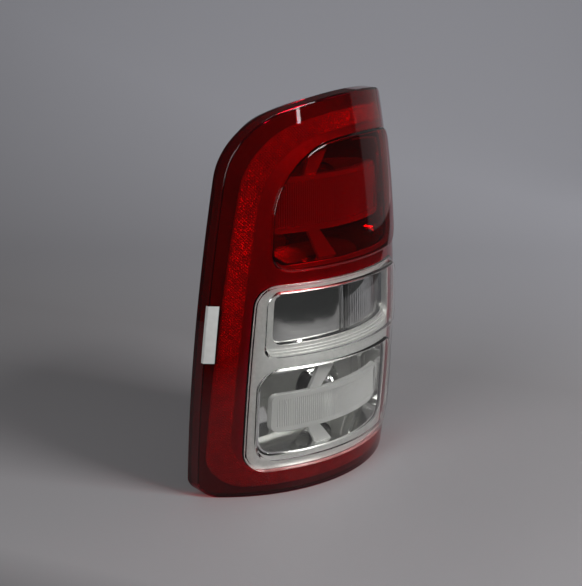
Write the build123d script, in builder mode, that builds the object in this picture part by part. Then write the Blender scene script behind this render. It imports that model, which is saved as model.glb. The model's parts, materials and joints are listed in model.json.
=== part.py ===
from build123d import *
import math
import os

os.makedirs("parts", exist_ok=True)

# Lens skin: an arc in plan about an upright axis, crowned a little from bottom to top.
# Heights are counted from the lens's lowest edge, widths and depths from that axis.
PLAN_RADIUS = 198.0
CROWN_RADIUS = 1430.0
CROWN_Z = 177.0
LENS_WALL = 3.0
SKIRT_DEPTH = 18.5
SKIRT_EDGE = 1.4

# The axis and the lowest edge, seen from the middle of the two mounting screws
AXIS_X = 75.0
AXIS_Y = 66.0
BOTTOM_Z = -145.0

# Shared edges of the outlines: the bowed inboard side and the arched top
BOW_RADIUS = 1400.0
ARCH_RADIUS = 380.0
ARCH_X = 50.0
SHOULDER = 88.0

# Lens outline
LENS_LEFT = -141.8
LENS_WAIST = 78.0
LENS_TOP = 435.0
LENS_RIGHT = 146.0
LENS_TOE = 19.0
LENS_HEAD_CORNER = 48.0
LENS_OUTER_CORNER = 26.0

# Reflex band, a C open on the outboard side, set in from the lens outline
REFLEX_RIM_LEFT = 9.6
REFLEX_RIM_TOP = 17.6
REFLEX_RIM_BOTTOM = 11.6
REFLEX_RIM_RIGHT = 10.0
REFLEX_WAIST = 41.0
REFLEX_WIDTH = 19.0
REFLEX_TOE = 37.0
REFLEX_THICK = 1.6
PRISM_ROOM = 1.2

# Stop lamp panel, set in from the lens outline
STOP_RIM_LEFT = 57.4
STOP_RIM_TOP = 43.4
STOP_RIM_RIGHT = 22.0
STOP_WAIST = 151.0
STOP_BOTTOM = 255.0
STOP_HEIGHT = 4.0
STOP_EDGE = 3.2
STOP_CORNER = 22.0

# Clear window, set in from the lens outline
WINDOW_RIM_LEFT = 38.3
WINDOW_RIM_RIGHT = 20.0
WINDOW_WAIST = 66.0
WINDOW_TOP = 242.5
WINDOW_BOTTOM = 29.5
WINDOW_HEIGHT = 1.5
WINDOW_EDGE = 1.2
WINDOW_CORNER = 25.0

# Turn and reverse panels, set in from the window
TURN_RIM_LEFT = 12.5
TURN_RIM_TOP = 6.0
TURN_RIM_RIGHT = 4.0
TURN_WAIST = 110.0
TURN_BOTTOM = 160.5
TURN_HEIGHT = 5.0
TURN_EDGE = 3.0
TURN_CORNER = 17.0
TURN_MOUTH_CORNER = 12.0
REVERSE_RIM_LEFT = 7.8
REVERSE_RIM_BOTTOM = 10.5
REVERSE_RIM_RIGHT = 14.0
REVERSE_WAIST = 90.0
REVERSE_TOP = 151.0
REVERSE_HEIGHT = 4.5
REVERSE_EDGE = 2.6
REVERSE_CORNER = 25.0

# Bezels and reflectors behind the lens
FIT_GAP = 0.15
PRESS_GAP = 0.05
BEZEL_THICK = 2.0
BEZEL_MARGIN = 0.6
BEZEL_LAP = 1.0
MOUTH_INSET = 6.0
FRAME_SIDE = 16.5
FRAME_TOP = 5.5
FRAME_BOTTOM = 12.5
FRAME_STEPS = 3
FRAME_STEP = 3.0
FRAME_DROP = 1.2
FRAME_DEPTH = 5.0
BOWL_WALL = 2.0
BOWL_DRAFT = 9.0
BOWL_LEAD = 4.0
BOWL_DEPTH = 60.0
TURN_PLATE_DEPTH = 4.0
DISH_RADIUS = 33.0
DISH_DEPTH = 26.0
DISH_HOLE = 12.5

# Fluted inner optics: two framed bars with slanting legs, and the turn cover
BAR_INSET = 12.0
BAR_THICK = 6.0
BAR_GAP = 0.3
BAR_LEFT = -66.0
BAR_RIGHT = 92.0
BAR_RIM = 5.0
BAR_LAP = 1.0
BAR_LIP = 0.8
BAR_CORNER = 8.0
FLUTE_PITCH = 2.6
FLUTE_DEPTH = 0.7
STOP_BAR_RISE = 44.0
STOP_BAR_HEIGHT = 48.0
REVERSE_BAR_RISE = 37.0
REVERSE_BAR_HEIGHT = 34.0
LEG_X = -25.0
LEG_NECK = 12.0
LEG_FOOT = 26.0
LEG_SLANT = 28.0
LEG_SINK = 4.0
LEG_STEP = 2.0
TURN_OPTIC_START = 24.0
TURN_OPTIC_LAP = 4.0
TURN_OPTIC_THICK = 3.0
TURN_FLUTE_PITCH = 4.6
TURN_FLUTE_DEPTH = 1.2

# Housing
HOUSING_WALL = 2.5
HOUSING_INSET = 9.0
HOUSING_KNEE = -125.0
HOUSING_BACK = -72.0
BACK_LEFT_STEP = 75.0
BACK_INSET = 12.0
FLANGE_INSET = 2.5
FLANGE_DEPTH = 3.5
RIB_THICK = 2.5
RIB_HEIGHT = 4.0
RIB_LENGTH = 100.0

# Bulbs and their twist-in sockets
BULB_X = 22.0
TURN_BULB_X = 70.0
PORT_RADIUS = 17.0
COLLAR_RADIUS = 22.0
COLLAR_HEIGHT = 5.0
SOCKET_GAP = 0.4
SOCKET_NOSE = 24.0
SOCKET_FLANGE = 3.5
SEAL_THICK = 2.0
SHROUD_WIDTH = 27.0
SHROUD_HEIGHT = 19.0
SHROUD_LENGTH = 22.0
SHROUD_WALL = 2.5
INLET_DEPTH = 16.0
LUG_COUNT = 3
LUG_WIDTH = 7.0
LUG_REACH = 2.5
LUG_THICK = 4.0
LUG_TWIST = 40.0
BULB_RADIUS = 10.0
BULB_LENGTH = 40.0
BULB_BASE_WIDTH = 16.0
BULB_BASE_THICK = 6.0
BULB_BASE_LENGTH = 14.0

# Mounting tabs with metal bushings, and locating pins
TAB_SPACING = 140.0
TAB_WIDTH = 28.0
TAB_THICK = 4.0
TAB_REACH = 11.0
TAB_ROOT = 46.0
TAB_CORNER = 8.0
BUSHING_RADIUS = 6.0
SCREW_RADIUS = 3.5
PIN_X = 98.0
PIN_LOW_Z = 140.0
PIN_HIGH_Z = 266.0
PIN_RADIUS = 5.0
PIN_LENGTH = 18.0
PIN_TIP = 5.0
PIN_FOOT_RADIUS = 8.5
PIN_FOOT = 4.0

# Foam gasket and breathers on the back, and the blank label
GASKET_WIDTH = 7.0
GASKET_THICK = 6.0
GASKET_MARGIN = 3.0
VENT_X = -24.0
VENT_RADIUS = 8.0
VENT_HEIGHT = 9.0
VENT_SLOT = 3.0
VENT_EDGE = 1.5
LABEL_LOW = 160.0
LABEL_HIGH = 223.0
LABEL_WRAP = 3.0
LABEL_WIDTH = 8.5
LABEL_THICK = 0.3
LABEL_CORNER = 0.6

# Working space around the lens for the cutting solids
MARGIN = 30.0
NEAR = PLAN_RADIUS + MARGIN
FACE = Plane(origin=(AXIS_X, AXIS_Y - NEAR, BOTTOM_Z), x_dir=(1, 0, 0), z_dir=(0, -1, 0))

# Edges of the reflex band and the lamp panels
REFLEX_LEFT = LENS_LEFT + REFLEX_RIM_LEFT
REFLEX_TOP = LENS_TOP - REFLEX_RIM_TOP
REFLEX_BOTTOM = REFLEX_RIM_BOTTOM
REFLEX_RIGHT = LENS_RIGHT - REFLEX_RIM_RIGHT
STOP_LEFT = LENS_LEFT + STOP_RIM_LEFT
STOP_TOP = LENS_TOP - STOP_RIM_TOP
STOP_RIGHT = LENS_RIGHT - STOP_RIM_RIGHT
WINDOW_LEFT = LENS_LEFT + WINDOW_RIM_LEFT
WINDOW_RIGHT = LENS_RIGHT - WINDOW_RIM_RIGHT
TURN_LEFT = WINDOW_LEFT + TURN_RIM_LEFT
TURN_TOP = WINDOW_TOP - TURN_RIM_TOP
TURN_RIGHT = WINDOW_RIGHT - TURN_RIM_RIGHT
REVERSE_LEFT = WINDOW_LEFT + REVERSE_RIM_LEFT
REVERSE_BOTTOM = WINDOW_BOTTOM + REVERSE_RIM_BOTTOM
REVERSE_RIGHT = WINDOW_RIGHT - REVERSE_RIM_RIGHT
MOUTH_LOW = TURN_BOTTOM + FRAME_BOTTOM
MOUTH_HIGH = TURN_TOP - FRAME_TOP
MOUTH_RIGHT = TURN_RIGHT - FRAME_TOP

# Places of the bars and of the bulbs behind them
STOP_BAR_BOTTOM = STOP_BOTTOM + STOP_BAR_RISE
STOP_BAR_TOP = STOP_BAR_BOTTOM + STOP_BAR_HEIGHT
REVERSE_BAR_BOTTOM = REVERSE_BOTTOM + REVERSE_BAR_RISE
REVERSE_BAR_TOP = REVERSE_BAR_BOTTOM + REVERSE_BAR_HEIGHT
STOP_BULB_Z = (STOP_BAR_BOTTOM + STOP_BAR_TOP) / 2
TURN_BULB_Z = (MOUTH_LOW + MOUTH_HIGH) / 2
REVERSE_BULB_Z = (REVERSE_BAR_BOTTOM + REVERSE_BAR_TOP) / 2

# Heights of the layers over the lens skin, and depths behind it
INNER = -LENS_WALL
REFLEX_FRONT = INNER - PRISM_ROOM
BEZEL_FRONT = REFLEX_FRONT - REFLEX_THICK - FIT_GAP
BEZEL_BACK = BEZEL_FRONT - BEZEL_THICK
BOWL_FRONT = BEZEL_BACK - FIT_GAP
TURN_FRONT = BOWL_FRONT - FRAME_DEPTH
TURN_PLATE = TURN_FRONT - TURN_PLATE_DEPTH
RIM_EDGE = LENS_WALL + BEZEL_MARGIN
BOWL_START = -PLAN_RADIUS - BOWL_FRONT - BOWL_LEAD
BOWL_FLOOR = -PLAN_RADIUS + BOWL_DEPTH
COLLAR_TOP = HOUSING_BACK + COLLAR_HEIGHT
SOCKET_SEAT = COLLAR_TOP + SEAL_THICK
SOCKET_BACK = SOCKET_SEAT + SOCKET_FLANGE
NOSE_END = HOUSING_BACK - SOCKET_NOSE


def depth_plane(depth):
    """Plane square to the draw direction, at a depth counted from the lens axis."""
    return Plane(origin=(AXIS_X, AXIS_Y + depth, BOTTOM_Z), x_dir=(1, 0, 0), z_dir=(0, -1, 0))


def panel(left, waist, top, right, bottom, corners, arched, grow=0.0, plane=FACE):
    """Outline with a bowed left side; corners run from the upper left, clockwise."""
    with BuildSketch(plane) as outline:
        with Locations((left, bottom)):
            Rectangle(right - left, top - bottom, align=(Align.MIN, Align.MIN))
        with Locations((left + BOW_RADIUS, waist)):
            Circle(BOW_RADIUS, mode=Mode.INTERSECT)
        if arched:
            with Locations((ARCH_X, top - ARCH_RADIUS)):
                Circle(ARCH_RADIUS, mode=Mode.INTERSECT)
        points = outline.vertices().sort_by(Axis.Y)
        lower = points[:2].sort_by(Axis.X)
        upper = points[-2:].sort_by(Axis.X)
        places = [upper[0], upper[-1], lower[-1], lower[0]]
        for place, radius in zip([Vector(p) for p in places], corners):
            fillet(outline.vertices().sort_by_distance(place)[0], radius)
        if grow:
            offset(amount=grow, mode=Mode.REPLACE)
    return outline.sketch


def lens_face(grow=0.0, plane=FACE):
    corners = (SHOULDER, LENS_HEAD_CORNER, LENS_OUTER_CORNER, LENS_TOE)
    return panel(LENS_LEFT, LENS_WAIST, LENS_TOP, LENS_RIGHT, 0, corners, True, grow, plane)


def back_face(grow=0.0, plane=FACE):
    """Outline of the housing's back, drawn in from the lens outline."""
    left = LENS_LEFT + HOUSING_INSET + BACK_LEFT_STEP
    right = LENS_RIGHT - HOUSING_INSET - BACK_INSET
    top = LENS_TOP - HOUSING_INSET - BACK_INSET
    low = HOUSING_INSET + BACK_INSET
    corners = (SHOULDER, LENS_OUTER_CORNER, LENS_OUTER_CORNER, LENS_TOE)
    return panel(left, LENS_WAIST, top, right, low, corners, True, grow, plane)


def stop_face(grow=0.0, plane=FACE):
    corners = (SHOULDER, STOP_CORNER, STOP_CORNER, STOP_CORNER)
    return panel(STOP_LEFT, STOP_WAIST, STOP_TOP, STOP_RIGHT, STOP_BOTTOM, corners, True, grow, plane)


def window_face(grow=0.0):
    corners = [WINDOW_CORNER] * 4
    return panel(WINDOW_LEFT, WINDOW_WAIST, WINDOW_TOP, WINDOW_RIGHT, WINDOW_BOTTOM, corners, False, grow)


def turn_face(grow=0.0):
    corners = [TURN_CORNER] * 4
    return panel(TURN_LEFT, TURN_WAIST, TURN_TOP, TURN_RIGHT, TURN_BOTTOM, corners, False, grow)


def turn_mouth(grow=0.0, plane=FACE):
    """Opening inside the turn lamp's stepped frame."""
    corners = [TURN_MOUTH_CORNER] * 4
    left = TURN_LEFT + FRAME_SIDE
    return panel(left, TURN_WAIST, MOUTH_HIGH, MOUTH_RIGHT, MOUTH_LOW, corners, False, grow, plane)


def reverse_face(grow=0.0, plane=FACE):
    corners = [REVERSE_CORNER] * 4
    sides = (REVERSE_LEFT, REVERSE_WAIST, REVERSE_TOP, REVERSE_RIGHT, REVERSE_BOTTOM)
    return panel(*sides, corners, False, grow, plane)


def reflex_face(inset, right):
    corners = (SHOULDER, STOP_CORNER, STOP_CORNER, REFLEX_TOE)
    left = REFLEX_LEFT + inset
    top = REFLEX_TOP - inset
    return panel(left, REFLEX_WAIST, top, right, REFLEX_BOTTOM + inset, corners, True)


def prism(face, draft=0.0, length=NEAR):
    """Outline drawn out along the draw direction, back from its own plane."""
    with BuildPart() as solid:
        extrude(face, amount=-length, taper=draft)
    return solid.part


def skin(height, setback=0.0):
    """Everything inside the lens skin raised by a height and moved back by a setback."""
    radius = PLAN_RADIUS + height
    crown = CROWN_RADIUS + height
    low = -MARGIN
    high = LENS_TOP + MARGIN
    low_radius = radius - crown + math.sqrt(crown**2 - (low - CROWN_Z) ** 2)
    high_radius = radius - crown + math.sqrt(crown**2 - (high - CROWN_Z) ** 2)
    plane = depth_plane(setback)
    with BuildPart() as solid:
        with BuildSketch(plane):
            with BuildLine():
                arc = ThreePointArc((low_radius, low), (radius, CROWN_Z), (high_radius, high))
                Polyline(arc @ 1, (0, high), (0, low), arc @ 0)
            make_face()
        revolve(axis=Axis(plane.origin, (0, 0, 1)))
    return solid.part


def raised(face, height, edge):
    """Outline filled up to a raised skin, with the edge of its front face rounded."""
    block = prism(face)
    body = skin(height)
    with BuildPart() as solid:
        add(block)
        add(body, mode=Mode.INTERSECT)
        front = solid.faces().sort_by(Axis.Y)[0]
        fillet(front.edges(), edge)
    return solid.part


def layer(face, front, back):
    """Sheet that follows the skin between two heights inside an outline."""
    block = prism(face)
    outside = skin(front)
    inside = skin(back)
    with BuildPart() as solid:
        add(block)
        add(outside, mode=Mode.INTERSECT)
        add(inside, mode=Mode.SUBTRACT)
    return solid.part


def under(face, height):
    """Outline filled up to a skin at a height, for cutting from behind."""
    block = prism(face)
    body = skin(height)
    with BuildPart() as solid:
        add(block)
        add(body, mode=Mode.INTERSECT)
    return solid.part


def finish(builder, name):
    builder.part.label = name
    export_step(builder.part, f"parts/{name}.step")


# Red lens: rim, skirt and stop panel, with the opening for the clear window
red_block = raised(lens_face(), 0, SKIRT_EDGE)
red_stop = raised(stop_face(), STOP_HEIGHT, STOP_EDGE)
red_back = skin(0, SKIRT_DEPTH)
red_hollow = under(lens_face(-LENS_WALL), INNER)
red_stop_hollow = under(stop_face(-LENS_WALL), STOP_HEIGHT - LENS_WALL)
red_opening = prism(window_face(FIT_GAP))
with BuildPart() as lens_red:
    add(red_block)
    add(red_stop)
    add(red_back, mode=Mode.SUBTRACT)
    add(red_hollow, mode=Mode.SUBTRACT)
    add(red_stop_hollow, mode=Mode.SUBTRACT)
    add(red_opening, mode=Mode.SUBTRACT)
finish(lens_red, "lens_red")

# Clear lens window with its raised turn and reverse panels
clear_block = raised(window_face(), WINDOW_HEIGHT, WINDOW_EDGE)
clear_turn = raised(turn_face(), TURN_HEIGHT, TURN_EDGE)
clear_reverse = raised(reverse_face(), REVERSE_HEIGHT, REVERSE_EDGE)
clear_back = skin(INNER)
clear_hollow = under(window_face(-LENS_WALL), WINDOW_HEIGHT - LENS_WALL)
turn_hollow = under(turn_face(-LENS_WALL), TURN_HEIGHT - LENS_WALL)
reverse_hollow = under(reverse_face(-LENS_WALL), REVERSE_HEIGHT - LENS_WALL)
with BuildPart() as lens_clear:
    add(clear_block)
    add(clear_turn)
    add(clear_reverse)
    add(clear_back, mode=Mode.SUBTRACT)
    add(clear_hollow, mode=Mode.SUBTRACT)
    add(turn_hollow, mode=Mode.SUBTRACT)
    add(reverse_hollow, mode=Mode.SUBTRACT)
finish(lens_clear, "lens_clear")

# Reflex band behind the red lens
reflex_ring = reflex_face(0, REFLEX_RIGHT) - reflex_face(REFLEX_WIDTH, LENS_RIGHT + SHOULDER)
reflex_sheet = layer(reflex_ring, REFLEX_FRONT, REFLEX_FRONT - REFLEX_THICK)
with BuildPart() as reflex_band:
    add(reflex_sheet)
finish(reflex_band, "reflex_band")

# Dark rim bezel under the reflex band, turned back along the lens skirt to the housing
rim_sheet = layer(lens_face(-RIM_EDGE), BEZEL_FRONT, BEZEL_BACK)
rim_outline = lens_face(-RIM_EDGE) - lens_face(-RIM_EDGE - BEZEL_THICK)
rim_return = under(rim_outline, BEZEL_FRONT)
rim_seat = skin(0, SKIRT_DEPTH - FIT_GAP)
rim_opening = prism(reflex_face(REFLEX_WIDTH - BEZEL_LAP, REFLEX_RIGHT))
with BuildPart() as rim_bezel:
    add(rim_return)
    add(rim_seat, mode=Mode.SUBTRACT)
    add(rim_sheet)
    add(rim_opening, mode=Mode.SUBTRACT)
finish(rim_bezel, "rim_bezel")

# Metallised bezel behind the red field, open at the stop lamp and at the clear window
field_inset = REFLEX_WIDTH - BEZEL_LAP + FIT_GAP
field_sheet = layer(reflex_face(field_inset, REFLEX_RIGHT - FIT_GAP), BEZEL_FRONT, BEZEL_BACK)
stop_opening = prism(stop_face(-MOUTH_INSET))
window_opening = prism(window_face(-BEZEL_LAP))
with BuildPart() as field_bezel:
    add(field_sheet)
    add(stop_opening, mode=Mode.SUBTRACT)
    add(window_opening, mode=Mode.SUBTRACT)
finish(field_bezel, "field_bezel")

# Satin bezel behind the clear window, with a stepped frame round the turn lamp
signal_sheet = layer(window_face(-BEZEL_LAP - FIT_GAP), BEZEL_FRONT, BEZEL_BACK)
frame_block = layer(turn_face(), BEZEL_FRONT, BEZEL_BACK - FRAME_DEPTH)
frame_steps = []
for index in range(1, FRAME_STEPS + 1):
    frame_steps.append(prism(turn_face(-FRAME_STEP * index)) - skin(BEZEL_FRONT - FRAME_DROP * index))
frame_mouth = prism(turn_mouth())
reverse_opening = prism(reverse_face(-MOUTH_INSET))
with BuildPart() as signal_bezel:
    add(signal_sheet)
    add(frame_block)
    add(frame_steps, mode=Mode.SUBTRACT)
    add(frame_mouth, mode=Mode.SUBTRACT)
    add(reverse_opening, mode=Mode.SUBTRACT)
finish(signal_bezel, "signal_bezel")


def dish(x, z, wall):
    """Round dish behind a bowl's floor, on the bulb's axis, thickened by a wall."""
    plane = Plane(origin=(AXIS_X + x, AXIS_Y + BOWL_FLOOR, BOTTOM_Z + z))
    radius = DISH_RADIUS + wall
    depth = DISH_DEPTH + wall
    slope = math.sqrt(0.5)
    with BuildPart() as solid:
        with BuildSketch(plane):
            with BuildLine():
                arc = ThreePointArc((radius, 0), (radius * slope, depth * slope), (0, depth))
                Polyline(arc @ 1, (0, 0), arc @ 0)
            make_face()
        revolve(axis=Axis(plane.origin, (0, 1, 0)))
    return solid.part


def bulb_bore(x, z, radius):
    """Round bore along the bulb's axis, right through the depth of the lamp."""
    with BuildPart() as solid:
        with BuildSketch(FACE):
            with Locations((x, z)):
                Circle(radius)
        extrude(amount=-NEAR)
    return solid.part


def bowl(mouth, x, z, front):
    """Drafted reflector bowl with a flat floor, a round dish and a bulb hole."""
    start = depth_plane(BOWL_START)
    length = BOWL_FLOOR - BOWL_START
    outside = prism(mouth(BOWL_WALL, start), BOWL_DRAFT, length + BOWL_WALL)
    inside = prism(mouth(0, start), BOWL_DRAFT, length)
    limit = skin(front)
    dish_outside = dish(x, z, BOWL_WALL)
    dish_inside = dish(x, z, 0)
    bore = bulb_bore(x, z, DISH_HOLE)
    with BuildPart() as solid:
        add(outside)
        add(limit, mode=Mode.INTERSECT)
        add(dish_outside)
        add(inside, mode=Mode.SUBTRACT)
        add(dish_inside, mode=Mode.SUBTRACT)
        add(bore, mode=Mode.SUBTRACT)
    return solid.part


def stop_mouth(grow, plane):
    return stop_face(grow - MOUTH_INSET, plane)


def reverse_mouth(grow, plane):
    return reverse_face(grow - MOUTH_INSET, plane)


def turn_chamber(grow, plane):
    """Deep outboard part of the turn lamp, where its bulb sits."""
    corners = [TURN_MOUTH_CORNER] * 4
    sides = (TURN_OPTIC_START, TURN_WAIST, MOUTH_HIGH, MOUTH_RIGHT, MOUTH_LOW)
    return panel(*sides, corners, False, grow, plane)


# Stop and reverse reflectors
stop_bowl = bowl(stop_mouth, BULB_X, STOP_BULB_Z, BOWL_FRONT)
with BuildPart() as stop_reflector:
    add(stop_bowl)
finish(stop_reflector, "stop_reflector")
reverse_bowl = bowl(reverse_mouth, BULB_X, REVERSE_BULB_Z, BOWL_FRONT)
with BuildPart() as reverse_reflector:
    add(reverse_bowl)
finish(reverse_reflector, "reverse_reflector")

# Turn reflector: a mirrored plate inboard and a deep bowl outboard
plate_block = layer(turn_mouth(BOWL_WALL), TURN_FRONT, TURN_PLATE - BOWL_WALL)
plate_hollow = prism(turn_mouth()) - skin(TURN_PLATE)
chamber_bowl = bowl(turn_chamber, TURN_BULB_X, TURN_BULB_Z, TURN_PLATE)
chamber_hollow = prism(turn_chamber(0, depth_plane(BOWL_START)), BOWL_DRAFT, BOWL_FLOOR - BOWL_START)
with BuildPart() as turn_reflector:
    add(plate_block)
    add(plate_hollow, mode=Mode.SUBTRACT)
    add(chamber_hollow, mode=Mode.SUBTRACT)
    add(chamber_bowl)
finish(turn_reflector, "turn_reflector")


def skin_radius(z, height):
    """Plan radius of the skin at a height above it, at one level of the lens."""
    crown = CROWN_RADIUS + height
    return PLAN_RADIUS + height - crown + math.sqrt(crown**2 - (z - CROWN_Z) ** 2)


def fluted(radius, left, right, low, high, thick, pitch, depth):
    """Curved plate with upright vee flutes over its front face."""
    first = math.asin(left / radius)
    last = math.asin(right / radius)
    count = int((last - first) * radius / pitch)
    points = []
    for index in range(2 * count + 1):
        angle = first + (last - first) * index / (2 * count)
        reach = radius - depth * (index % 2)
        points.append((reach * math.sin(angle), -reach * math.cos(angle)))
    inner = radius - thick
    ends = [(inner * math.sin(a), -inner * math.cos(a)) for a in (first, (first + last) / 2, last)]
    with BuildPart() as solid:
        with BuildSketch(Plane(origin=(AXIS_X, AXIS_Y, BOTTOM_Z + low))):
            with BuildLine():
                Polyline(*points)
                Line(points[-1], ends[2])
                ThreePointArc(ends[2], ends[1], ends[0])
                Line(ends[0], points[0])
            make_face()
        extrude(amount=high - low)
    return solid.part


def leg(bar_z, foot_z):
    """Slanting leg from a bar's edge to the wall of its bowl, in front view."""
    neck = LEG_NECK / 2
    foot = LEG_FOOT / 2
    foot_x = LEG_X + LEG_SLANT
    with BuildSketch(FACE) as outline:
        with BuildLine():
            Polyline(
                (LEG_X - neck, bar_z),
                (LEG_X + neck, bar_z),
                (foot_x + foot, foot_z),
                (foot_x - foot, foot_z),
                close=True,
            )
        make_face()
    return outline.sketch


def bar_frame(low, high):
    """Plain rounded border round a bar's flutes, in front view."""
    width = BAR_RIGHT - BAR_LEFT
    height = high - low
    with BuildSketch(FACE) as outline:
        with Locations(((BAR_LEFT + BAR_RIGHT) / 2, (low + high) / 2)):
            RectangleRounded(width + 2 * BAR_RIM, height + 2 * BAR_RIM, BAR_CORNER)
            Rectangle(width - 2 * BAR_LAP, height - 2 * BAR_LAP, mode=Mode.SUBTRACT)
    return outline.sketch


def optic_bar(mouth, low, high, mouth_low, mouth_high):
    """Framed, fluted bar with a leg above and below, cut to fit inside its bowl."""
    radius = skin_radius((low + high) / 2, -BAR_INSET)
    plate = fluted(radius, BAR_LEFT, BAR_RIGHT, low, high, BAR_THICK, FLUTE_PITCH, FLUTE_DEPTH)
    back = -BAR_INSET - BAR_THICK
    border = layer(bar_frame(low, high), BAR_LIP - BAR_INSET, back)
    front = -BAR_INSET - LEG_STEP
    upper = layer(leg(high - LEG_SINK, mouth_high), front, back)
    lower = layer(leg(low + LEG_SINK, mouth_low), front, back)
    start = depth_plane(BOWL_START)
    room = prism(mouth(-BAR_GAP, start), BOWL_DRAFT, BOWL_FLOOR - BOWL_START - BAR_GAP)
    with BuildPart() as solid:
        add(plate)
        add(border)
        add(upper)
        add(lower)
        add(room, mode=Mode.INTERSECT)
    return solid.part


# Fluted bars in front of the stop and reverse bulbs
stop_bar = optic_bar(stop_mouth, STOP_BAR_BOTTOM, STOP_BAR_TOP, STOP_BOTTOM, STOP_TOP)
with BuildPart() as stop_optic:
    add(stop_bar)
finish(stop_optic, "stop_optic")
reverse_bar = optic_bar(reverse_mouth, REVERSE_BAR_BOTTOM, REVERSE_BAR_TOP, REVERSE_BOTTOM, REVERSE_TOP)
with BuildPart() as reverse_optic:
    add(reverse_bar)
finish(reverse_optic, "reverse_optic")

# Ribbed cover seated on the turn reflector's plate, over the mouth of its bowl
cover_seat = TURN_PLATE + PRESS_GAP
turn_plate = fluted(
    skin_radius(TURN_BULB_Z, cover_seat + TURN_OPTIC_THICK),
    TURN_OPTIC_START - TURN_OPTIC_LAP,
    MOUTH_RIGHT,
    MOUTH_LOW,
    MOUTH_HIGH,
    2 * TURN_OPTIC_THICK,
    TURN_FLUTE_PITCH,
    TURN_FLUTE_DEPTH,
)
cover_room = prism(turn_mouth(-BAR_GAP))
cover_back = skin(cover_seat)
with BuildPart() as turn_optic:
    add(turn_plate)
    add(cover_room, mode=Mode.INTERSECT)
    add(cover_back, mode=Mode.SUBTRACT)
finish(turn_optic, "turn_optic")

# Places of the three bulbs in front view
BULBS = {
    "stop": (BULB_X, STOP_BULB_Z),
    "turn": (TURN_BULB_X, TURN_BULB_Z),
    "reverse": (BULB_X, REVERSE_BULB_Z),
}


def tub(inset, knee, back):
    """Housing form: a straight body behind the lens, drawn in to a smaller back."""
    front_face = lens_face(-HOUSING_INSET - inset, depth_plane(knee))
    rear_face = back_face(-inset, depth_plane(back))
    straight = prism(lens_face(-HOUSING_INSET - inset), 0, NEAR + knee)
    with BuildPart() as solid:
        loft([front_face, rear_face])
        add(straight)
    return solid.part


def tab(z):
    """Screw tab square to X, run forward into the housing's inboard side."""
    with BuildPart() as solid:
        with BuildSketch(Plane(origin=(0, 0, z), x_dir=(0, 1, 0), z_dir=(1, 0, 0))) as outline:
            with Locations((TAB_REACH, 0)):
                Rectangle(TAB_REACH + TAB_ROOT, TAB_WIDTH, align=(Align.MAX, Align.CENTER))
            fillet(outline.vertices().group_by(Axis.X)[-1], TAB_CORNER)
            Circle(BUSHING_RADIUS, mode=Mode.SUBTRACT)
        extrude(amount=-TAB_THICK)
    return solid.part


def port(x, z):
    """Socket port: a round hole with three notches for the twist-in lugs."""
    with BuildPart() as solid:
        with BuildSketch(depth_plane(COLLAR_TOP)):
            with Locations((x, z)):
                Circle(PORT_RADIUS)
                with PolarLocations(PORT_RADIUS, LUG_COUNT):
                    Rectangle(2 * (LUG_REACH + SOCKET_GAP), LUG_WIDTH + 2 * SOCKET_GAP)
        extrude(amount=COLLAR_HEIGHT + 2 * HOUSING_WALL)
    return solid.part


# Housing: tub, lens flange, socket collars, ribs and screw tabs
tub_outside = tub(0, HOUSING_KNEE, HOUSING_BACK)
tub_inside = tub(HOUSING_WALL, HOUSING_KNEE, HOUSING_BACK - HOUSING_WALL)
tub_limit = skin(0, SKIRT_DEPTH + FIT_GAP)
flange_block = prism(lens_face(-FLANGE_INSET))
flange_back = skin(0, SKIRT_DEPTH + FIT_GAP + FLANGE_DEPTH)
flange_ring = (flange_block & tub_limit) - flange_back
tabs = [tab(z) for z in (-TAB_SPACING / 2, TAB_SPACING / 2)]
ports = [port(x, z) for x, z in BULBS.values()]
rib_levels = [(REVERSE_BULB_Z + TURN_BULB_Z) / 2, (TURN_BULB_Z + STOP_BULB_Z) / 2]
with BuildPart() as housing:
    add(tub_outside)
    add(tub_limit, mode=Mode.INTERSECT)
    add(flange_ring)
    add(tabs)
    with BuildSketch(depth_plane(HOUSING_BACK)):
        with Locations(*BULBS.values()):
            Circle(COLLAR_RADIUS)
    extrude(amount=-COLLAR_HEIGHT)
    with BuildSketch(depth_plane(HOUSING_BACK)):
        with Locations(*[(BULB_X, z) for z in rib_levels]):
            Rectangle(RIB_LENGTH, RIB_THICK)
        with Locations((BULB_X, (REVERSE_BULB_Z + STOP_BULB_Z) / 2)):
            Rectangle(RIB_THICK, STOP_BULB_Z - REVERSE_BULB_Z)
    extrude(amount=-RIB_HEIGHT)
    add(tub_inside, mode=Mode.SUBTRACT)
    add(ports, mode=Mode.SUBTRACT)
finish(housing, "housing")


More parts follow.
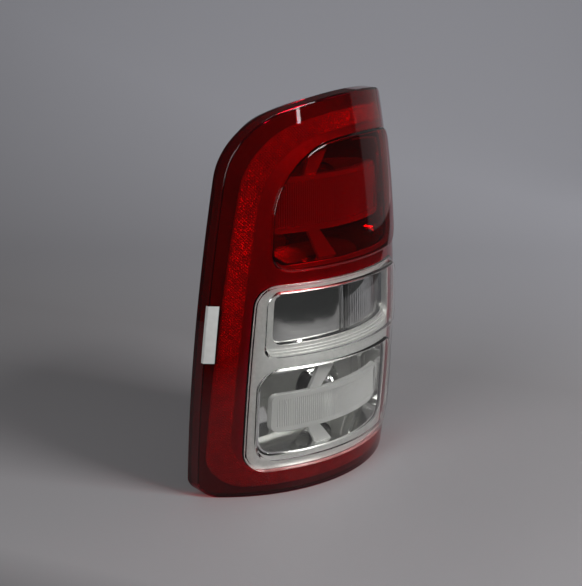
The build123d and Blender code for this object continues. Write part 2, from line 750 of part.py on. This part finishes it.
def socket(x, z):
    """Twist-in bulb socket with lugs, flange, bulb pocket and connector inlet."""
    nose_radius = PORT_RADIUS - SOCKET_GAP
    lug_plane = depth_plane(HOUSING_BACK - HOUSING_WALL - SOCKET_GAP)
    shroud_end = SOCKET_BACK + SHROUD_LENGTH
    with BuildPart() as solid:
        with BuildSketch(depth_plane(SOCKET_SEAT)):
            with Locations((x, z)):
                Circle(nose_radius)
        extrude(amount=SOCKET_SEAT - NOSE_END)
        with BuildSketch(depth_plane(SOCKET_SEAT)):
            with Locations((x, z)):
                Circle(COLLAR_RADIUS)
        extrude(amount=-SOCKET_FLANGE)
        with BuildSketch(lug_plane):
            with Locations((x, z)):
                with PolarLocations(nose_radius, LUG_COUNT, LUG_TWIST):
                    Rectangle(2 * LUG_REACH, LUG_WIDTH)
        extrude(amount=LUG_THICK)
        with BuildSketch(depth_plane(SOCKET_BACK)) as shroud:
            with Locations((x, z)):
                Rectangle(SHROUD_WIDTH, SHROUD_HEIGHT)
            fillet(shroud.vertices(), SHROUD_WALL)
        extrude(amount=-SHROUD_LENGTH)
        with BuildSketch(depth_plane(shroud_end)):
            with Locations((x, z)):
                Rectangle(SHROUD_WIDTH - 2 * SHROUD_WALL, SHROUD_HEIGHT - 2 * SHROUD_WALL)
        extrude(amount=INLET_DEPTH, mode=Mode.SUBTRACT)
        with BuildSketch(depth_plane(NOSE_END)):
            with Locations((x, z)):
                Rectangle(BULB_BASE_WIDTH + 2 * FIT_GAP, BULB_BASE_THICK + 2 * FIT_GAP)
        extrude(amount=-BULB_BASE_LENGTH - FIT_GAP, mode=Mode.SUBTRACT)
    return solid.part


def bulb(x, z):
    """Wedge-base bulb: flat glass base and a round envelope with a domed tip."""
    plane = Plane(origin=(AXIS_X + x, AXIS_Y + NOSE_END - FIT_GAP, BOTTOM_Z + z))
    shoulder = BULB_RADIUS / 2
    straight = BULB_LENGTH - BULB_RADIUS
    with BuildPart() as solid:
        with BuildSketch(plane):
            with BuildLine():
                Polyline((0, -BULB_LENGTH), (0, 0), (shoulder, 0), (BULB_RADIUS, -shoulder))
                Line((BULB_RADIUS, -shoulder), (BULB_RADIUS, -straight))
                RadiusArc((BULB_RADIUS, -straight), (0, -BULB_LENGTH), BULB_RADIUS)
            make_face()
        revolve(axis=Axis(plane.origin, (0, 1, 0)))
        with BuildSketch(depth_plane(NOSE_END - shoulder)):
            with Locations((x, z)):
                Rectangle(BULB_BASE_WIDTH, BULB_BASE_THICK)
        extrude(amount=-BULB_BASE_LENGTH - shoulder)
    return solid.part


def seal(x, z):
    """Flat rubber ring between a socket's flange and its collar."""
    with BuildPart() as solid:
        with BuildSketch(depth_plane(COLLAR_TOP)):
            with Locations((x, z)):
                Circle(COLLAR_RADIUS - SEAL_THICK / 2)
                Circle(PORT_RADIUS, mode=Mode.SUBTRACT)
        extrude(amount=-SEAL_THICK)
    return solid.part


# Bulbs, sockets and seals
for lamp, (x, z) in BULBS.items():
    for kind, maker in (("bulb", bulb), ("socket", socket), ("seal", seal)):
        piece = maker(x, z)
        with BuildPart() as fitting:
            add(piece)
        finish(fitting, f"{lamp}_{kind}")

# Metal bushings in the screw tabs
with BuildPart() as bushings:
    with BuildSketch(Plane.YZ):
        with GridLocations(0, TAB_SPACING, 1, 2):
            Circle(BUSHING_RADIUS - PRESS_GAP)
            Circle(SCREW_RADIUS, mode=Mode.SUBTRACT)
    extrude(amount=-TAB_THICK)
finish(bushings, "tab_bushings")

# Locating pins on the outboard side of the back
for name, z in (("lower", PIN_LOW_Z), ("upper", PIN_HIGH_Z)):
    base = Plane(origin=(AXIS_X + PIN_X, AXIS_Y + HOUSING_BACK, BOTTOM_Z + z))
    tip = PIN_FOOT + PIN_LENGTH + PIN_TIP
    with BuildPart() as pin:
        with BuildSketch(base):
            with BuildLine():
                Polyline(
                    (0, 0),
                    (PIN_FOOT_RADIUS, 0),
                    (PIN_FOOT_RADIUS, PIN_FOOT),
                    (PIN_RADIUS, PIN_FOOT),
                    (PIN_RADIUS, PIN_FOOT + PIN_LENGTH),
                    (PIN_RADIUS / 2, tip),
                    (0, tip),
                    close=True,
                )
            make_face()
        revolve(axis=Axis(base.origin, (0, 1, 0)))
    finish(pin, f"{name}_locating_pin")

# Foam gasket round the edge of the back
gasket_plane = depth_plane(HOUSING_BACK)
gasket_outline = back_face(-GASKET_MARGIN, gasket_plane)
gasket_hole = back_face(-GASKET_MARGIN - GASKET_WIDTH, gasket_plane)
with BuildPart() as gasket:
    extrude(gasket_outline - gasket_hole, amount=-GASKET_THICK)
finish(gasket, "foam_gasket")

# Breather caps beside the turn and reverse sockets
for name, z in (("upper", TURN_BULB_Z), ("lower", REVERSE_BULB_Z)):
    with BuildPart() as vent:
        with BuildSketch(depth_plane(HOUSING_BACK)):
            with Locations((VENT_X, z)):
                Circle(VENT_RADIUS)
        extrude(amount=-VENT_HEIGHT)
        chamfer(vent.edges().sort_by(Axis.Y)[-1], VENT_EDGE)
        with BuildSketch(depth_plane(HOUSING_BACK + VENT_HEIGHT / 2)):
            with Locations((VENT_X, z)):
                Rectangle(2 * VENT_RADIUS, VENT_SLOT)
        extrude(amount=-VENT_SLOT, mode=Mode.SUBTRACT)
    finish(vent, f"{name}_vent_cap")

# Blank label on the inboard rim, lapped a little over the rounded edge
label_front = PRESS_GAP + LABEL_THICK
label_outside = raised(lens_face(label_front), label_front, SKIRT_EDGE + label_front)
label_inside = raised(lens_face(PRESS_GAP), PRESS_GAP, SKIRT_EDGE + PRESS_GAP)
label_back = skin(0, LABEL_WRAP)
label_corners = [LABEL_CORNER] * 4
label_right = LENS_LEFT + LABEL_WIDTH
label_body = panel(LENS_LEFT - MARGIN, LENS_WAIST, LABEL_HIGH, 0, LABEL_LOW, label_corners, False)
label_rest = panel(label_right, LENS_WAIST, LENS_TOP, LENS_RIGHT, 0, label_corners, False)
label_block = prism(label_body - label_rest)
with BuildPart() as label:
    add(label_outside)
    add(label_inside, mode=Mode.SUBTRACT)
    add(label_back, mode=Mode.SUBTRACT)
    add(label_block, mode=Mode.INTERSECT)
finish(label, "blank_label")
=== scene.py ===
import json
import math
import random

import bmesh
import bpy
from mathutils import Matrix, Vector
from mathutils.bvhtree import BVHTree


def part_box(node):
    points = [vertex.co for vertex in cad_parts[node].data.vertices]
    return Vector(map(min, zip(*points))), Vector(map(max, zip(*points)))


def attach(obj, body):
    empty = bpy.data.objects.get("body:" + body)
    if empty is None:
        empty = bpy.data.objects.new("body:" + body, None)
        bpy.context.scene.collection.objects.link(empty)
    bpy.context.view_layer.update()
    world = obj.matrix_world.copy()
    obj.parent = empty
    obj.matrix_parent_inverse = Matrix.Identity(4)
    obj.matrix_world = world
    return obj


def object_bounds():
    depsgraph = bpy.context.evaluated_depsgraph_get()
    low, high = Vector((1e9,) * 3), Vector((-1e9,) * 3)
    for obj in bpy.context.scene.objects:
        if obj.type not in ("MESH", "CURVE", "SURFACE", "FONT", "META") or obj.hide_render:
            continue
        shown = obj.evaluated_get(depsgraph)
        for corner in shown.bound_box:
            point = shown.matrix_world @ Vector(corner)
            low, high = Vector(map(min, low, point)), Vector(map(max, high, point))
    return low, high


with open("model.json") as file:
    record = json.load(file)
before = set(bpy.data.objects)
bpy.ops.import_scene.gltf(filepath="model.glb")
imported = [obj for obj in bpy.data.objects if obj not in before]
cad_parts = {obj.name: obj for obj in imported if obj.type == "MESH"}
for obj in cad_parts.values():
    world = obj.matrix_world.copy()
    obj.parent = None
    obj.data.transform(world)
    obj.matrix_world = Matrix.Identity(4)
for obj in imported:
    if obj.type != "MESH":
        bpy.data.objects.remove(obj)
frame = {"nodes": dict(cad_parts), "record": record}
nodes = frame["nodes"]
cad_low, cad_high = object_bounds()

# Camera: where the photograph was taken from, in metres, and its focal length
CAMERA_PLACE = (-0.7873, -1.0801, 0.4540)
CAMERA_AIM = (0.6169, 0.7352, -0.2808)
CAMERA_LENS = 76.18

# Floor: its front edge, which the turn plate mirrors, as points to the side and along the camera's aim
FLOOR_EDGE = (
    (-1.0, -0.55), (0.1, -0.55), (0.3, -0.66), (0.49, -0.65), (0.59, -0.485),
    (0.67, -0.36), (0.742, -0.24), (0.797, -0.065), (0.88, -0.01), (1.0, 0.1),
)
FLOOR_BEHIND = 1.0
FLOOR_ROUGHNESS = 0.6
FLOOR_COLOUR = (0.290, 0.280, 0.291, 1.0)

# Backdrop, which rises from the floor's far end
BACKDROP_RADIUS = 1.3
BACKDROP_ARC = math.radians(62)
BACKDROP_STEPS = 16
# The floor's painted light brightens towards this colour going back
BACKDROP_COLOUR = (0.62, 0.62, 0.675, 1.0)

# Painted light and shade over the floor: start and end along the camera's aim, and lean to the side
# Painted light: the floor's colour brightens towards the backdrop's colour going back, and to one side
PAINTED_LIGHT_FADE = (-0.4, 2.5, 0.5)
# Painted shade: the floor's colour goes to black towards its front edge, a dark sheet that the turn
# plate mirrors
PAINTED_SHADE_FADE = (-0.52, -0.29, 0.45)

# Lamps: place, size across and down, power in watts
LAMPS = {
    "key": ((0.55, -1.5, 1.25), (0.7, 0.7), 31.0),
    "fill": ((-1.45, -0.4, 0.75), (0.8, 0.8), 10.2),
    "right_panel": ((1.27, -0.07, 0.5), (1.06, 1.25), 0.9),
    "top": ((-0.1, 0.7, 1.5), (1.2, 0.14), 2.8),
    "strip": ((0.49, -1.62, 0.56), (0.07, 0.16), 0.6),
}
LAMP_TARGET = (0.08, -0.08, 0.05)
WORLD_COLOUR = (0.50, 0.505, 0.52, 1.0)
WORLD_STRENGTH = 0.1

# Noise patterns: the band of values in use, detail, and scales in cells per metre
PATTERN_LOW = 0.3
PATTERN_HIGH = 0.7
PATTERN_DETAIL = 3.0
CLEAR_TINT_SCALE = 14.0
CLEAR_MARK_SCALE = 60.0
CLEAR_MARK_DETAIL = 6.0

# Relief cells to one patch of colour and to one patch of gloss on opaque plastic
CELLS_PER_TINT = 8
CELLS_PER_GLOSS = 2

# How much clear plastic bends light
BENDING = 1.36

# Axis of the lens arc, the cells of the reflex band, and the rays that find the band's front
LENS_AXIS = (0.075, 0.066)
CELL = 0.0036
CELL_HEIGHT = 0.0010
CELL_LIFT = 0.00003
CELL_WANDER = 0.0005
CELL_SEED = 7
RAY_START = 0.26
FRONT_FACING = 0.5

# Blades in each connector inlet: thickness, length and width
INLET_DEPTH = 0.016
BLADE_SIZE = (0.0008, 0.010, 0.0063)
BLADE_SPACING = 0.009


# Materials

def new_material(name):
    """Material with one Principled shader; returns it with its node tree and shader."""
    material = bpy.data.materials.new(name)
    material.use_nodes = True
    tree = material.node_tree
    return material, tree, tree.nodes["Principled BSDF"]


def settle(shader, **values):
    """Sets shader sockets by name, with underscores for spaces."""
    for name, value in values.items():
        shader.inputs[name.replace("_", " ")].default_value = value


def noise(tree, scale, detail=PATTERN_DETAIL):
    """Noise over the part's own coordinates, with a scale in cells per metre."""
    place = tree.nodes.new("ShaderNodeTexCoord")
    pattern = tree.nodes.new("ShaderNodeTexNoise")
    pattern.inputs["Scale"].default_value = scale
    pattern.inputs["Detail"].default_value = detail
    tree.links.new(place.outputs["Object"], pattern.inputs["Vector"])
    return pattern.outputs["Fac"]


def spread(tree, factor, low, high, socket):
    """Drives a number socket from a pattern, between two values."""
    ramp = tree.nodes.new("ShaderNodeMapRange")
    ramp.inputs["From Min"].default_value = PATTERN_LOW
    ramp.inputs["From Max"].default_value = PATTERN_HIGH
    ramp.inputs["To Min"].default_value = low
    ramp.inputs["To Max"].default_value = high
    tree.links.new(factor, ramp.inputs["Value"])
    tree.links.new(ramp.outputs["Result"], socket)


def tint(tree, factor, first, second, socket):
    """Drives a colour socket from a pattern, between two colours."""
    ramp = tree.nodes.new("ShaderNodeValToRGB")
    ramp.color_ramp.elements[0].position = PATTERN_LOW
    ramp.color_ramp.elements[0].color = first
    ramp.color_ramp.elements[1].position = PATTERN_HIGH
    ramp.color_ramp.elements[1].color = second
    tree.links.new(factor, ramp.inputs["Fac"])
    tree.links.new(ramp.outputs["Color"], socket)


def roughen(tree, shader, factor, distance, by_face):
    """Bump from a pattern, with its height in metres, over smooth shading or the bare faces."""
    bump = tree.nodes.new("ShaderNodeBump")
    bump.inputs["Distance"].default_value = distance
    if by_face:
        surface = tree.nodes.new("ShaderNodeNewGeometry")
        tree.links.new(surface.outputs["True Normal"], bump.inputs["Normal"])
    tree.links.new(factor, bump.inputs["Height"])
    tree.links.new(bump.outputs["Normal"], shader.inputs["Normal"])


def clear_plastic(name, first, second, roughness, passing, clarity=1.0):
    """Clear, tinted or frosted plastic with faint handling marks, through which lamps shine."""
    material, tree, shader = new_material(name)
    settle(shader, Transmission_Weight=clarity, IOR=BENDING)
    tint(tree, noise(tree, CLEAR_TINT_SCALE), first, second, shader.inputs["Base Color"])
    marks = noise(tree, CLEAR_MARK_SCALE, CLEAR_MARK_DETAIL)
    spread(tree, marks, roughness[0], roughness[1], shader.inputs["Roughness"])
    light = tree.nodes.new("ShaderNodeLightPath")
    through = tree.nodes.new("ShaderNodeBsdfTransparent")
    through.inputs["Color"].default_value = passing
    mix = tree.nodes.new("ShaderNodeMixShader")
    tree.links.new(light.outputs["Is Shadow Ray"], mix.inputs[0])
    tree.links.new(shader.outputs["BSDF"], mix.inputs[1])
    tree.links.new(through.outputs["BSDF"], mix.inputs[2])
    tree.links.new(mix.outputs["Shader"], tree.nodes["Material Output"].inputs["Surface"])
    return material


def plain(name, first, second, roughness, scale, relief=0.0, by_face=False, **sockets):
    """Opaque material with a mottled colour, an uneven gloss and a fine relief."""
    material, tree, shader = new_material(name)
    settle(shader, **sockets)
    tint(tree, noise(tree, scale / CELLS_PER_TINT), first, second, shader.inputs["Base Color"])
    gloss = noise(tree, scale / CELLS_PER_GLOSS)
    spread(tree, gloss, roughness[0], roughness[1], shader.inputs["Roughness"])
    if relief:
        roughen(tree, shader, noise(tree, scale), relief, by_face)
    return material


MATERIALS = {
    "red_lens": clear_plastic(
        "red_lens", (0.42, 0.0, 0.010, 1), (0.48, 0.001, 0.016, 1),
        roughness=(0.012, 0.04), passing=(0.70, 0.02, 0.05, 1)),
    "clear_lens": clear_plastic(
        "clear_lens", (0.93, 0.94, 0.93, 1), (0.97, 0.97, 0.96, 1),
        roughness=(0.010, 0.035), passing=(0.95, 0.95, 0.945, 1)),
    "clear_optic": clear_plastic(
        "clear_optic", (0.37, 0.37, 0.36, 1), (0.44, 0.44, 0.43, 1),
        roughness=(0.10, 0.18), passing=(0.8, 0.8, 0.79, 1), clarity=0.52),
    "ribbed_cover": clear_plastic(
        "ribbed_cover", (0.57, 0.57, 0.56, 1), (0.65, 0.65, 0.64, 1),
        roughness=(0.01, 0.03), passing=(0.65, 0.65, 0.64, 1)),
    "bulb_glass": clear_plastic(
        "bulb_glass", (0.95, 0.95, 0.95, 1), (0.98, 0.98, 0.98, 1),
        roughness=(0.0, 0.02), passing=(0.97, 0.97, 0.97, 1)),
    "reflex_plastic": plain(
        "reflex_plastic", (0.33, 0.13, 0.13, 1), (0.45, 0.18, 0.18, 1),
        roughness=(0.12, 0.17), scale=900.0, Metallic=0.15),
    "dark_bezel": plain(
        "dark_bezel", (0.08, 0.022, 0.030, 1), (0.105, 0.028, 0.038, 1),
        roughness=(0.32, 0.46), scale=1500.0, relief=2e-5),
    "field_coating": plain(
        "field_coating", (0.38, 0.375, 0.38, 1), (0.46, 0.45, 0.46, 1),
        roughness=(0.34, 0.46), scale=1800.0, relief=1e-5, Metallic=0.7),
    "satin_bezel": plain(
        "satin_bezel", (0.47, 0.47, 0.455, 1), (0.55, 0.55, 0.53, 1),
        roughness=(0.32, 0.44), scale=2200.0, relief=1e-5, by_face=True, Metallic=0.75),
    "mirror_coating": plain(
        "mirror_coating", (0.76, 0.765, 0.755, 1), (0.84, 0.84, 0.825, 1),
        roughness=(0.05, 0.10), scale=500.0, Metallic=1.0),
    "plate_coating": plain(
        "plate_coating", (0.54, 0.545, 0.535, 1), (0.62, 0.62, 0.605, 1),
        roughness=(0.05, 0.10), scale=500.0, Metallic=1.0),
    "housing_plastic": plain(
        "housing_plastic", (0.028, 0.028, 0.030, 1), (0.042, 0.042, 0.044, 1),
        roughness=(0.45, 0.62), scale=1800.0, relief=4e-5),
    "socket_plastic": plain(
        "socket_plastic", (0.13, 0.13, 0.135, 1), (0.18, 0.18, 0.185, 1),
        roughness=(0.4, 0.55), scale=1500.0, relief=3e-5),
    "seal_rubber": plain(
        "seal_rubber", (0.04, 0.04, 0.04, 1), (0.06, 0.06, 0.06, 1),
        roughness=(0.65, 0.8), scale=1500.0, relief=3e-5),
    "bushing_metal": plain(
        "bushing_metal", (0.55, 0.53, 0.47, 1), (0.66, 0.64, 0.58, 1),
        roughness=(0.22, 0.36), scale=1200.0, relief=1e-5, Metallic=1.0),
    "pin_plastic": plain(
        "pin_plastic", (0.70, 0.69, 0.65, 1), (0.78, 0.77, 0.73, 1),
        roughness=(0.4, 0.5), scale=900.0, relief=1e-5),
    "gasket_foam": plain(
        "gasket_foam", (0.045, 0.045, 0.047, 1), (0.075, 0.075, 0.078, 1),
        roughness=(0.8, 0.95), scale=700.0, relief=3e-4),
    "vent_rubber": plain(
        "vent_rubber", (0.035, 0.035, 0.035, 1), (0.05, 0.05, 0.05, 1),
        roughness=(0.6, 0.75), scale=1500.0, relief=2e-5),
    "label_paper": plain(
        "label_paper", (0.60, 0.60, 0.585, 1), (0.67, 0.67, 0.655, 1),
        roughness=(0.5, 0.65), scale=1200.0, relief=2e-5),
}

for part in frame["record"]["subparts"]:
    nodes[part["node"]].material_slots[0].material = MATERIALS[part["material_slot"]]
nodes["turn_optic"].material_slots[0].material = MATERIALS["ribbed_cover"]
nodes["turn_reflector"].material_slots[0].material = MATERIALS["plate_coating"]


# Pieces added to the CAD nodes

def new_object(name, mesh, material):
    """Makes a scene object from a bmesh, which it frees."""
    data = bpy.data.meshes.new(name)
    mesh.to_mesh(data)
    mesh.free()
    data.materials.append(material)
    thing = bpy.data.objects.new(name, data)
    bpy.context.scene.collection.objects.link(thing)
    return thing


def new_piece(name, mesh, slot):
    """Makes a piece of the part from a bmesh, with a record slot's material."""
    piece = new_object(name, mesh, MATERIALS[slot])
    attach(piece, "root")


def reflex_prisms():
    """Small pyramids over the front of the reflex band, in staggered rows."""
    band = nodes["reflex_band"].data
    solid = BVHTree.FromPolygons([v.co for v in band.vertices], [p.vertices for p in band.polygons])
    low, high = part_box("reflex_band")
    radius = LENS_AXIS[1] - low.y
    step = CELL / 2
    turn = step / radius
    first = math.floor(math.asin((low.x - LENS_AXIS[0]) / radius) / turn)
    last = math.ceil(math.asin((high.x - LENS_AXIS[0]) / radius) / turn)
    rows = math.ceil((high.z - low.z) / step)
    mesh = bmesh.new()
    chance = random.Random(CELL_SEED)
    corners = {}

    def outward(column):
        """Direction away from the lens axis at a column of cells."""
        return Vector((math.sin(column * turn), -math.cos(column * turn), 0))

    def corner(column, row):
        """Corner of a cell and the point of the band's front below it, or None outside the band."""
        key = (column, row)
        if key not in corners:
            out = outward(column)
            start = Vector((*LENS_AXIS, low.z + row * step)) + out * RAY_START
            hit, normal = solid.ray_cast(start, -out)[:2]
            front = hit is not None and normal.dot(out) > FRONT_FACING
            corners[key] = (mesh.verts.new(hit + out * CELL_LIFT), hit) if front else None
        return corners[key]

    for row in range(1, rows):
        for column in range(first + row % 2, last, 2):
            ring = [
                corner(column + 1, row), corner(column, row + 1),
                corner(column - 1, row), corner(column, row - 1),
            ]
            if None in ring:
                continue
            base = [vertex for vertex, hit in ring]
            centre = sum((hit for vertex, hit in ring), Vector()) / len(ring)
            out = outward(column)
            across = out.cross(Vector((0, 0, 1))) * chance.uniform(-CELL_WANDER, CELL_WANDER)
            up = Vector((0, 0, chance.uniform(-CELL_WANDER, CELL_WANDER)))
            apex = mesh.verts.new(centre + out * CELL_HEIGHT + across + up)
            for here, there in zip(base, base[1:] + base[:1]):
                mesh.faces.new((here, there, apex))
    loose = [v for v in mesh.verts if not v.link_faces]
    bmesh.ops.delete(mesh, geom=loose, context="VERTS")
    bmesh.ops.recalc_face_normals(mesh, faces=mesh.faces)
    new_piece("reflex_prisms", mesh, "reflex_plastic")


def terminals(lamp_name):
    """Two metal blades on the floor of a socket's connector inlet."""
    low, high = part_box(f"{lamp_name}_socket")
    centre = (low + high) / 2
    depth = high.y - INLET_DEPTH + BLADE_SIZE[1] / 2
    mesh = bmesh.new()
    for shift in (-BLADE_SPACING / 2, BLADE_SPACING / 2):
        place = Matrix.Translation((centre.x + shift, depth, centre.z))
        bmesh.ops.create_cube(mesh, matrix=place @ Matrix.Diagonal((*BLADE_SIZE, 1)))
    new_piece(f"{lamp_name}_terminals", mesh, "bushing_metal")


reflex_prisms()
for lamp_name in ("stop", "turn", "reverse"):
    terminals(lamp_name)


# Stage, lamps and camera

def floor_factor(tree, aim, side, fade):
    """Number that grows from 0 to 1 over the floor, between a fade's start and end."""
    start, end, lean = fade
    place = tree.nodes.new("ShaderNodeTexCoord")
    along = tree.nodes.new("ShaderNodeVectorMath")
    along.operation = "DOT_PRODUCT"
    along.inputs[1].default_value = aim + side * lean
    ramp = tree.nodes.new("ShaderNodeMapRange")
    ramp.inputs["From Min"].default_value = start
    ramp.inputs["From Max"].default_value = end
    tree.links.new(place.outputs["Object"], along.inputs[0])
    tree.links.new(along.outputs["Value"], ramp.inputs["Value"])
    return ramp.outputs["Result"]


def floor_material(aim, side):
    """Floor with painted light, its colour brightening to the backdrop's behind the part, and painted
    shade, going black at its front edge.
    """
    material, tree, shader = new_material("floor")
    settle(shader, Roughness=FLOOR_ROUGHNESS)
    painted_shade_scale = tree.nodes.new("ShaderNodeVectorMath")
    painted_shade_scale.operation = "SCALE"
    # Painted light: the floor lighter towards the back
    behind = floor_factor(tree, aim, side, PAINTED_LIGHT_FADE)
    tint(tree, behind, FLOOR_COLOUR, BACKDROP_COLOUR, painted_shade_scale.inputs[0])
    # Painted shade: the floor black towards its front edge, for the turn plate to mirror
    tree.links.new(floor_factor(tree, aim, side, PAINTED_SHADE_FADE), painted_shade_scale.inputs["Scale"])
    tree.links.new(painted_shade_scale.outputs["Vector"], shader.inputs["Base Color"])
    return material


def sweep():
    """Floor that curves up into a backdrop behind the part, as one sheet."""
    aim = Vector((CAMERA_AIM[0], CAMERA_AIM[1], 0)).normalized()
    side = Vector((aim.y, -aim.x, 0))
    level = Vector((0, 0, cad_low[2]))
    mesh = bmesh.new()
    edge = [mesh.verts.new(aim * along + side * reach + level) for reach, along in FLOOR_EDGE]
    reaches = (FLOOR_EDGE[0][0], FLOOR_EDGE[-1][0])
    rows = []
    for index in range(BACKDROP_STEPS + 1):
        turn = BACKDROP_ARC * index / BACKDROP_STEPS
        along = FLOOR_BEHIND + BACKDROP_RADIUS * math.sin(turn)
        height = BACKDROP_RADIUS * (1 - math.cos(turn))
        base = aim * along + Vector((0, 0, height)) + level
        rows.append([mesh.verts.new(base + side * reach) for reach in reaches])
    mesh.faces.new((*edge, rows[0][1], rows[0][0])).smooth = True
    for near, far in zip(rows, rows[1:]):
        mesh.faces.new((near[0], near[1], far[1], far[0])).smooth = True
    floor = new_object("floor", mesh, floor_material(aim, side))


def aim_at(thing, direction):
    """Turns a lamp or the camera to look along a direction."""
    thing.rotation_euler = Vector(direction).to_track_quat("-Z", "Y").to_euler()


def lamp(name, place, size, power):
    """Rectangular lamp that faces the part."""
    data = bpy.data.lights.new(name, "AREA")
    data.shape = "RECTANGLE"
    data.size, data.size_y = size
    data.energy = power
    thing = bpy.data.objects.new(name, data)
    bpy.context.scene.collection.objects.link(thing)
    thing.location = place
    aim_at(thing, Vector(LAMP_TARGET) - Vector(place))


sweep()
for name, (place, size, power) in LAMPS.items():
    lamp(name, place, size, power)

world = bpy.data.worlds.new("studio")
bpy.context.scene.world = world
world.use_nodes = True
background = world.node_tree.nodes["Background"]
settle(background, Color=WORLD_COLOUR, Strength=WORLD_STRENGTH)

camera_data = bpy.data.cameras.new("camera")
camera_data.lens = CAMERA_LENS
camera = bpy.data.objects.new("camera", camera_data)
bpy.context.scene.collection.objects.link(camera)
camera.location = CAMERA_PLACE
aim_at(camera, CAMERA_AIM)
bpy.context.scene.camera = camera
bpy.context.scene.view_settings.view_transform = "Standard"
